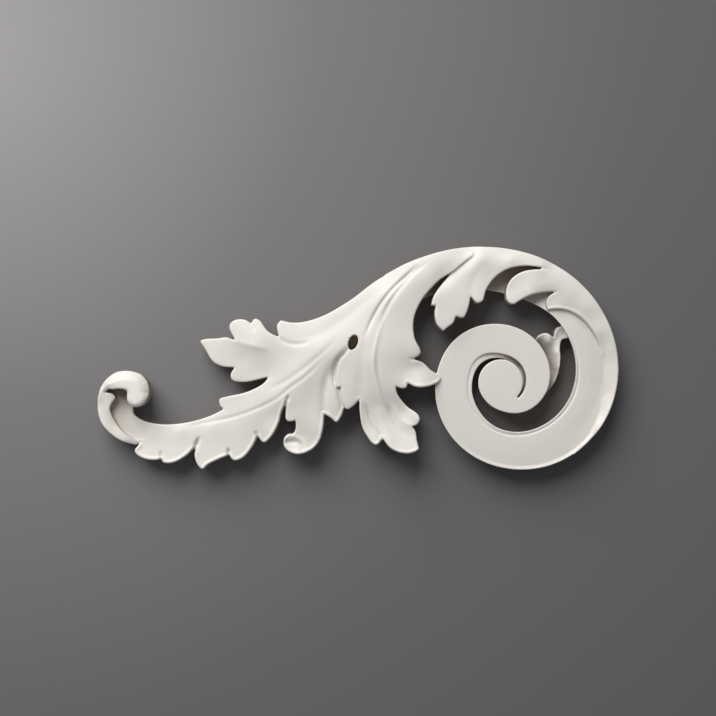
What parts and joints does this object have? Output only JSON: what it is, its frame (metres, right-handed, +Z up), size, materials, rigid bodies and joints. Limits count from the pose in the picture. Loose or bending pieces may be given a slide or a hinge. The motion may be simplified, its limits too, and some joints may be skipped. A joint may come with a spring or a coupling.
{
  "type": "decorative onlay",
  "caption": "Cast acanthus scroll onlay: a leafy stem with a small rolled end that sweeps up into a leaf-sheathed volute, flat-backed for fixing to a wall, door or frame.",
  "frame": {"origin": "on the flat back, behind the middle of the main leaf, where the onlay meets the wall", "axes": "+X along the onlay towards the volute, +Y from the carving into the wall, +Z up the wall"},
  "size_m": [0.2995, 0.0207, 0.1287],
  "materials": {
    "primed_resin": "primed matte white, as cast"
  },
  "bodies": {
    "root": {"onlay": "primed_resin"}
  },
  "joints": []
}
